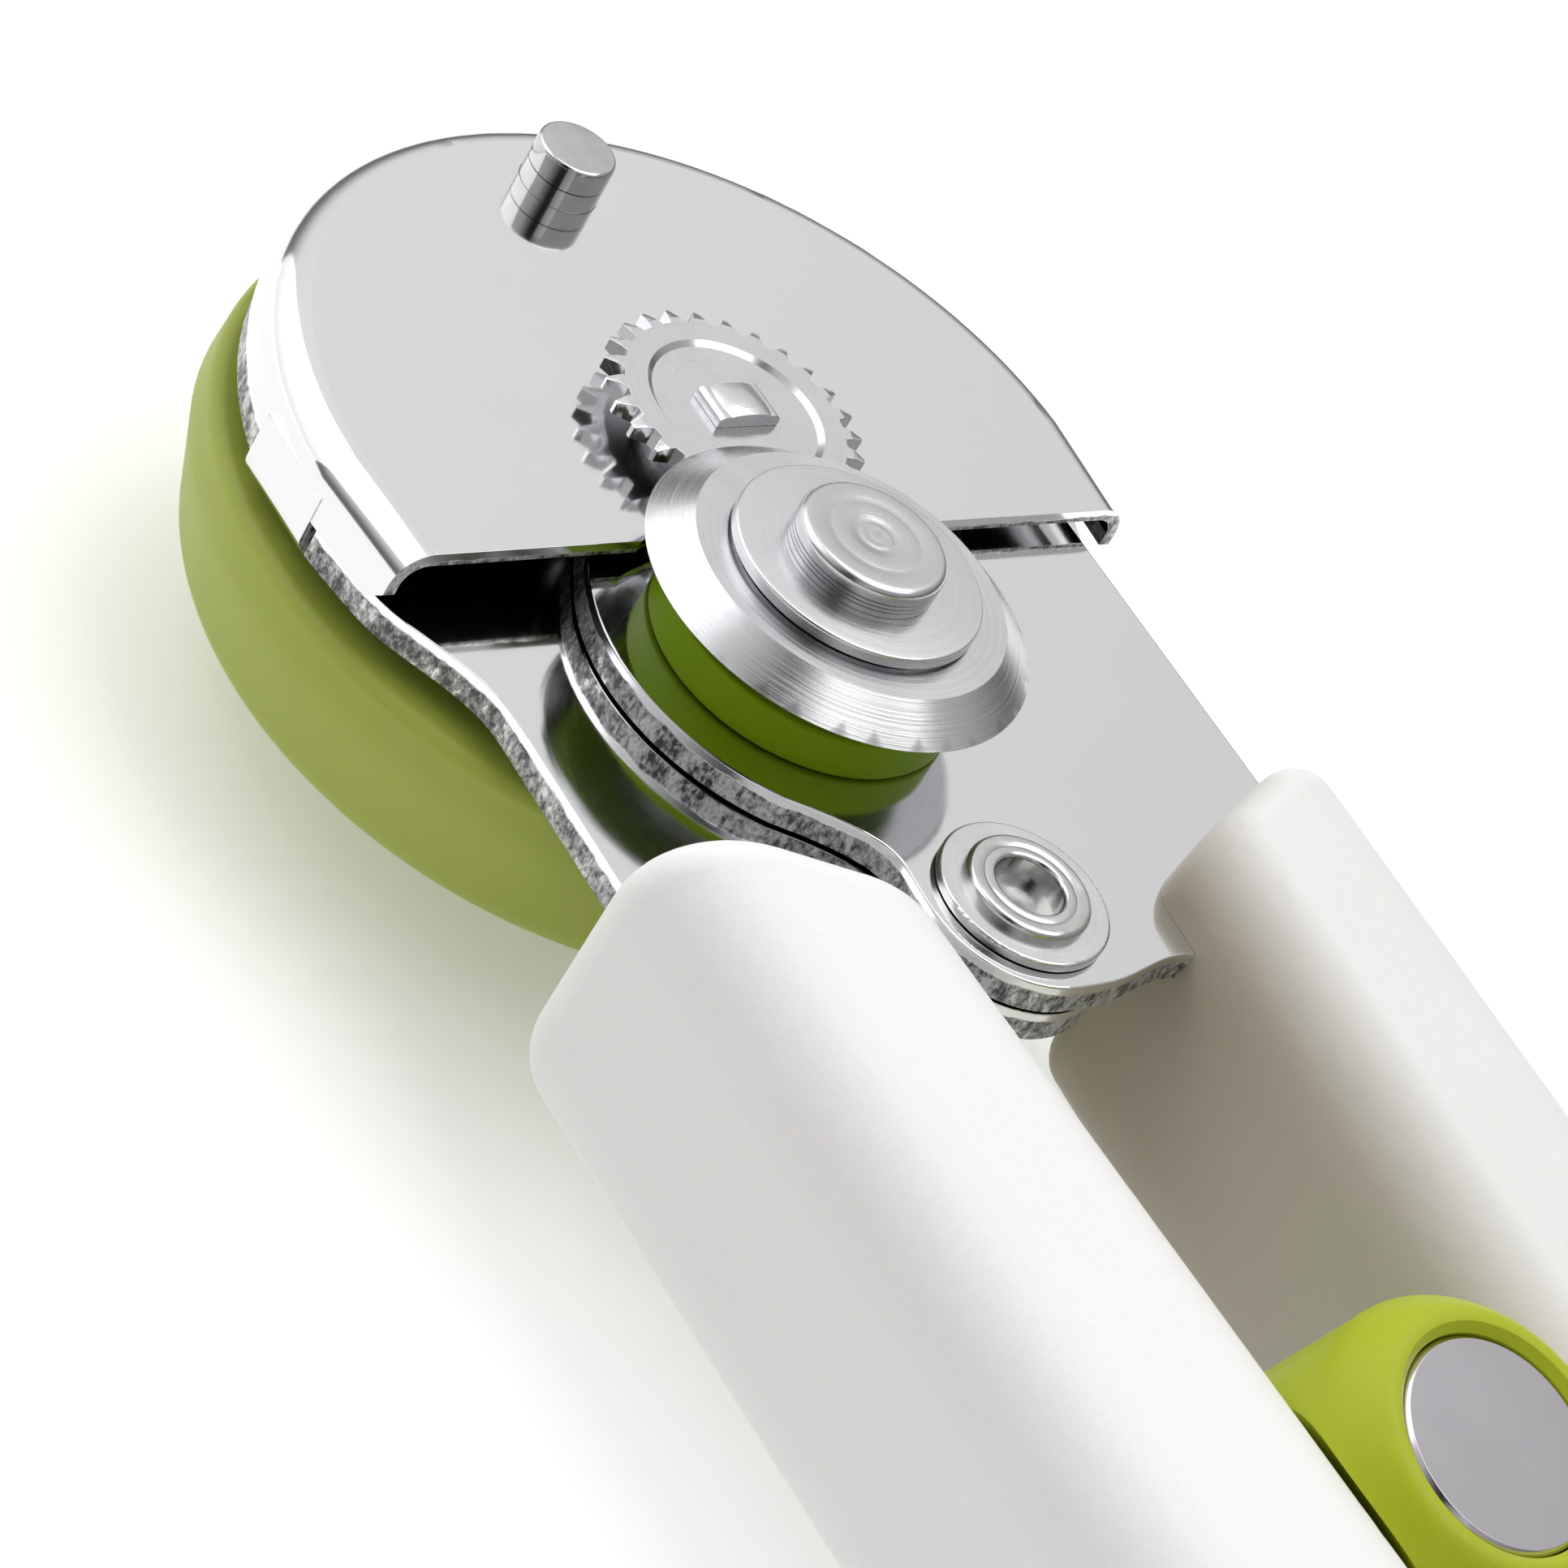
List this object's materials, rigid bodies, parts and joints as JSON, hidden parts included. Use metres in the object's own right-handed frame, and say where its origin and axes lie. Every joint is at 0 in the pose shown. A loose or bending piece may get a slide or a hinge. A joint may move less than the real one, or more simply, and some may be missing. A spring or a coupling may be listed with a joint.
{
  "type": "manual can opener",
  "caption": "Hand-held can opener with side cutting wheel, toothed drive turned by a rear knob, lid magnet, pivoting jaws and two soft handles joined by a lock button.",
  "frame": {"origin": "on the drive gear's axis, at the top face of the cover plate", "axes": "+X from the head towards the handle ends, +Y towards the handle that carries the lock button, +Z out of the face with the cutting wheel"},
  "size_m": [0.1904, 0.0551, 0.0315],
  "materials": {
    "polished_steel": "mirror-polished stainless steel with sheared edges",
    "turned_steel": "turned, fine concentric marks",
    "bright_steel": "bright plated steel",
    "magnet_nickel": "nickel-plated magnet",
    "zinc_steel": "zinc-plated spring steel",
    "bronze": "sintered bronze",
    "soft_white": "soft-touch matte white",
    "hard_grey": "moulded nylon",
    "knob_green": "satin moulded, olive to lime green",
    "roller_green": "satin moulded, deep green",
    "collar_green": "satin moulded, lime green",
    "button_chrome": "chrome-plated disc"
  },
  "bodies": {
    "lower_jaw": {"lower_jaw_plate": "polished_steel", "cover_plate": "polished_steel", "lid_magnet": "magnet_nickel", "magnet_seat": "zinc_steel", "shaft_bush": "bronze", "pivot_rivet": "bright_steel", "pivot_washer_top": "bright_steel", "pivot_washer_bottom": "bright_steel", "near_handle_grip": "soft_white", "near_handle_core": "hard_grey", "near_tang_pins": "bright_steel", "catch_spring": "zinc_steel"},
    "upper_jaw": {"upper_jaw_plate": "polished_steel", "cutter_stud": "turned_steel", "cutter_washer": "turned_steel", "far_handle_grip": "soft_white", "far_handle_core": "hard_grey", "far_tang_pins": "bright_steel", "button_housing": "collar_green", "housing_screws": "bright_steel", "pawl_pin": "bright_steel"},
    "drive": {"drive_gear": "turned_steel", "drive_shaft": "turned_steel", "thrust_washer": "hard_grey", "turning_knob": "knob_green", "knob_cover": "knob_green", "knob_screw": "bright_steel", "knob_cap": "knob_green"},
    "cutting_wheel": {"cutter_wheel": "turned_steel", "cutter_hub": "turned_steel"},
    "guide_roller": {"guide_roller": "roller_green"},
    "lock_button": {"release_button": "button_chrome", "button_plunger": "hard_grey", "button_spring": "zinc_steel"},
    "lock_pawl": {"lock_pawl": "bright_steel"}
  },
  "joints": [
    {"name": "jaw_pivot", "type": "hinge", "parent": "lower_jaw", "child": "upper_jaw", "pos_m": [0.0332, 0.0009, -0.003], "axis": [0, 0, 1], "range_deg": [0, 20], "deforming": ["catch_spring"]},
    {"name": "knob_turn", "type": "hinge", "parent": "lower_jaw", "child": "drive", "pos_m": [0, 0, 0], "axis": [0, 0, 1], "continuous": true},
    {"name": "cutting_wheel_spin", "type": "hinge", "parent": "upper_jaw", "child": "cutting_wheel", "pos_m": [0.01504, -0.00272, 0.003], "axis": [0, 0, 1], "continuous": true},
    {"name": "guide_roller_spin", "type": "hinge", "parent": "upper_jaw", "child": "guide_roller", "pos_m": [0.01504, -0.00272, 0], "axis": [0, 0, 1], "continuous": true},
    {"name": "button_press", "type": "slide", "parent": "upper_jaw", "child": "lock_button", "axis": [-0.2147, 0, -0.9767], "range_m": [0, 0.0018], "stiffness_N_per_m": 900, "springref_m": -0.002, "deforming": ["button_spring"]},
    {"name": "pawl_swing", "type": "hinge", "parent": "upper_jaw", "child": "lock_pawl", "pos_m": [0.0709, -0.00345, -0.0088], "axis": [-1, 0, 0], "range_deg": [0, 22]}
  ],
  "couplings": [
    {"joint": "pawl_swing", "follows": "button_press", "rad_per_m": 213.3}
  ]
}
